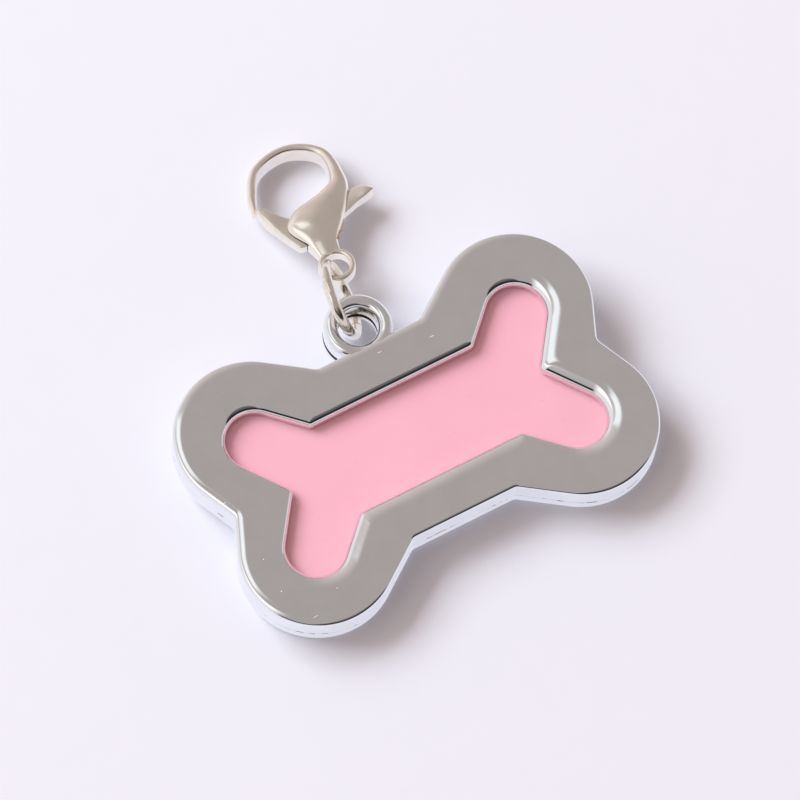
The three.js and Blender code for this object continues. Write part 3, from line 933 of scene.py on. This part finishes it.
def window_lamp():
    light = bpy.data.lights.new("window_light", "AREA")
    light.shape = "RECTANGLE"
    light.size, light.size_y = LAMP_SIZE
    light.energy = LAMP_POWER
    light.color = LAMP_COLOUR
    made = bpy.data.objects.new("window_light", light)
    made.location = LAMP_WAY.normalized() * LAMP_DISTANCE
    made.rotation_euler = LAMP_WAY.to_track_quat("Z", "Y").to_euler()
    made.visible_glossy = False
    bpy.context.scene.collection.objects.link(made)


def surroundings():
    """Plain warm grey room: a pale window on the left, a pale panel overhead, dark near side."""
    world = bpy.data.worlds.new("room")
    bpy.context.scene.world = world
    world.use_nodes = True
    tree = Tree(world.node_tree)
    way = tree.add("ShaderNodeTexCoord", output="Generated")
    parts = tree.add("ShaderNodeSeparateXYZ", inputs={"Vector": way})
    x, y, z = (Wire(tree, socket) for socket in parts.socket.node.outputs)
    level_part = (1 + LEAST_LEVEL - z * z).root()
    shade = tree.dot(way, SHADE_WAY).above(*SHADE_RANGE)
    toward = tree.dot(way, WINDOW_WAY) / level_part
    window = toward.above(*WINDOW_SIDES)
    window = window * (1 - tree.dot(way, WINDOW_TOP_WAY).above(*WINDOW_TOP))
    glare = window * toward.above(*GLARE_SIDES) * z.above(*GLARE_BOTTOM)
    panel = x.above(*PANEL_LEFT) * (1 - x.above(*PANEL_RIGHT)) * y.above(*PANEL_NEAR)
    panel = panel * (1 - tree.dot(way, PANEL_FAR_WAY).above(*PANEL_FAR)) * z.above(*PANEL_BOTTOM)
    near = (tree.dot(way, NEAR_WAY) / level_part).above(*NEAR_SIDES)
    dark = near * (1 - tree.dot(way, DARK_TOP_WAY).above(*DARK_TOP))
    dark = dark + (1 - dark) * tree.dot(way, DARK_PATCH_WAY).above(*DARK_PATCH)
    colour = tree.mix(shade, ROOM_DEEP, ROOM_PALE)
    colour = tree.mix(window, colour, WINDOW_PALE)
    colour = tree.mix(glare, colour, GLARE_PALE)
    colour = tree.mix(panel, colour, PANEL_PALE)
    colour = tree.mix(dark, colour, tree.mix(z.above(*DARK_LIFT), DARK_LOW, DARK_HIGH))
    colour = tree.mix(near * (1 - z.above(*SKIRT_TOP)), colour, SKIRT_PALE)
    soft = tree.add("ShaderNodeLightPath", output="Is Diffuse Ray")
    colour = tree.mix(soft, colour, SOFT_TINT, blend="MULTIPLY")
    background = tree.add("ShaderNodeBackground", inputs={"Color": colour, "Strength": 1})
    tree.add("ShaderNodeOutputWorld", inputs={"Surface": background})


def photo_camera():
    lens = bpy.data.cameras.new("photo_view")
    lens.sensor_width = SENSOR
    lens.lens = FOCAL_PIXELS / PHOTO_PIXELS * SENSOR
    lens.clip_end = LENS_REACH
    made = bpy.data.objects.new("photo_view", lens)
    face = TAG @ Matrix.Translation((0, 0, TAG_THICKNESS))
    turn = CAMERA_TURN.to_matrix().to_4x4()
    made.matrix_world = face @ Matrix.Translation(CAMERA_PLACE) @ turn
    bpy.context.scene.collection.objects.link(made)
    bpy.context.scene.camera = made


# Assembly

photo_camera()

for made, body, node, slot in (
    (front_bezel(), "tag", "front_bezel", "chrome_plate"),
    (back_plate(), "tag", "back_plate", "chrome_plate"),
    (jump_ring(), "ring", "jump_ring", "nickel_wire"),
    (clasp_body(), "clasp", "clasp_body", "nickel_cast"),
    (clasp_trigger(), "trigger", "clasp_trigger", "nickel_cast"),
):
    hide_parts(node)
    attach(made, body)

leaf = leaf_spring()
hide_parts("clasp_spring")
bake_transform(leaf)

for node, finish in (("photo_card", CARD), ("clasp_pin", STEEL)):
    frame["nodes"][node].material_slots[0].material = finish

floor()
surroundings()
window_lamp()

bpy.context.scene.view_settings.view_transform = "Standard"
